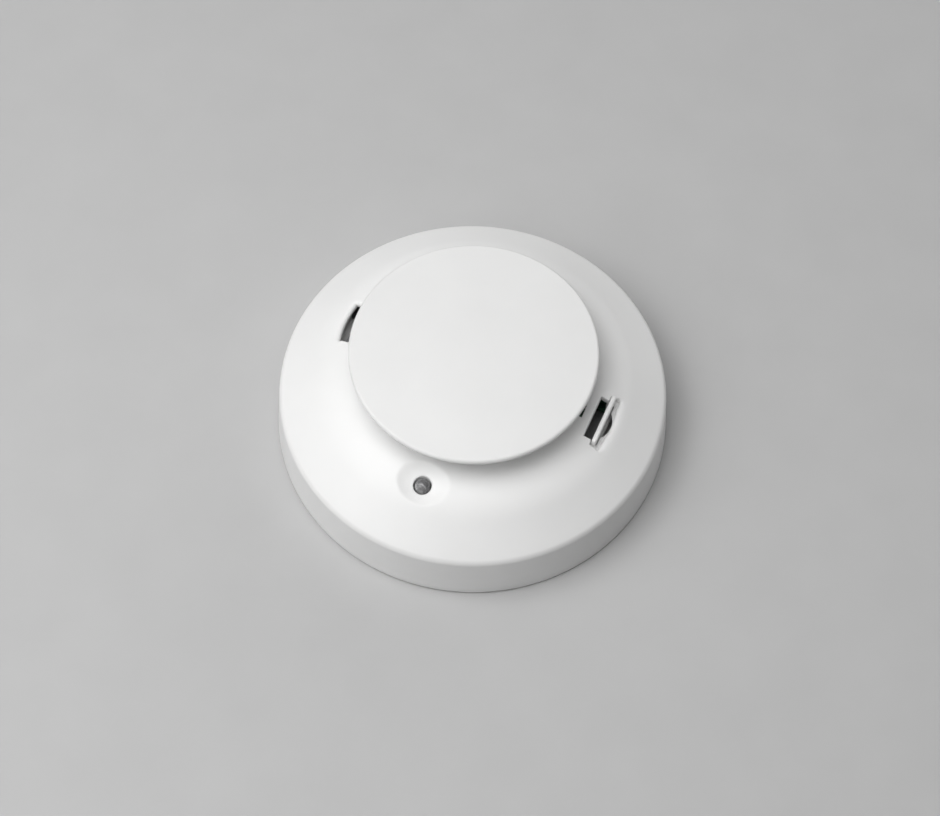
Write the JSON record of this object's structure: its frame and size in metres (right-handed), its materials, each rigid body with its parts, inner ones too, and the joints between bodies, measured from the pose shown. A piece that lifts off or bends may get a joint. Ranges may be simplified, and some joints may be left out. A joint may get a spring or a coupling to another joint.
{
  "type": "heat detector",
  "caption": "Round plug-in ceiling heat detector: a low domed cover with a raised cap over a vented heat sensor, an indicator lamp, and a twist-lock mounting base.",
  "frame": {"origin": "centre of the mounting base's back face, which meets the ceiling", "axes": "+Z out of the ceiling towards the room, along the detector's axis; the indicator lamp is on the -Y side"},
  "size_m": [0.127, 0.127, 0.0437],
  "materials": {
    "cover_plastic": "fine-textured off-white moulding",
    "cap_plastic": "smooth off-white moulding",
    "latch_plastic": "smooth off-white moulding",
    "base_plastic": "fine-textured off-white moulding",
    "carrier_plastic": "mid grey moulding",
    "seal_foam": "closed-cell foam",
    "board_laminate": "green solder resist",
    "chip_epoxy": "moulded epoxy",
    "capacitor_can": "aluminium can",
    "suppressor_coating": "dipped epoxy",
    "sensor_bead": "black epoxy bead",
    "sleeve_plastic": "translucent white insulation",
    "tinned_wire": "tinned copper",
    "lamp_lens": "smoke-tinted clear lens",
    "spacer_plastic": "black moulding",
    "contact_metal": "bright brass strip",
    "spring_metal": "stainless spring strip",
    "plated_steel": "zinc-plated steel"
  },
  "bodies": {
    "base": {"base_plate": "base_plastic", "contact_springs": "spring_metal", "terminal_clamps": "plated_steel", "terminal_screws": "plated_steel"},
    "head": {"rear_carrier": "carrier_plastic", "base_seal": "seal_foam", "contact_blades": "contact_metal", "circuit_board": "board_laminate", "board_screws": "plated_steel", "controller_chip": "chip_epoxy", "bridge_rectifier": "chip_epoxy", "regulators": "chip_epoxy", "resistors": "chip_epoxy", "capacitors": "capacitor_can", "surge_suppressor": "suppressor_coating", "heat_sensor_bead": "sensor_bead", "heat_sensor_leads": "tinned_wire", "heat_sensor_sleeve": "sleeve_plastic", "inner_heat_sensor": "sensor_bead", "indicator_lamp": "lamp_lens", "lamp_spacer": "spacer_plastic", "lamp_leads": "tinned_wire"},
    "cover": {"outer_cover": "cover_plastic", "vane_cage": "cover_plastic", "sensor_cap": "cap_plastic"},
    "latch": {"release_latch": "latch_plastic"}
  },
  "joints": [
    {"name": "head_twist", "type": "hinge", "parent": "base", "child": "head", "pos_m": [0, 0, 0], "axis": [0, 0, 1], "range_deg": [0, 18]},
    {"name": "cover_lift", "type": "slide", "parent": "head", "child": "cover", "axis": [0, 0, 1], "range_m": [0, 0.025]},
    {"name": "latch_rock", "type": "hinge", "parent": "cover", "child": "latch", "pos_m": [0.0407, -0.01686, 0.022], "axis": [0.3827, 0.9239, 0], "range_deg": [0, 6], "stiffness_Nm_per_rad": 0.4}
  ]
}
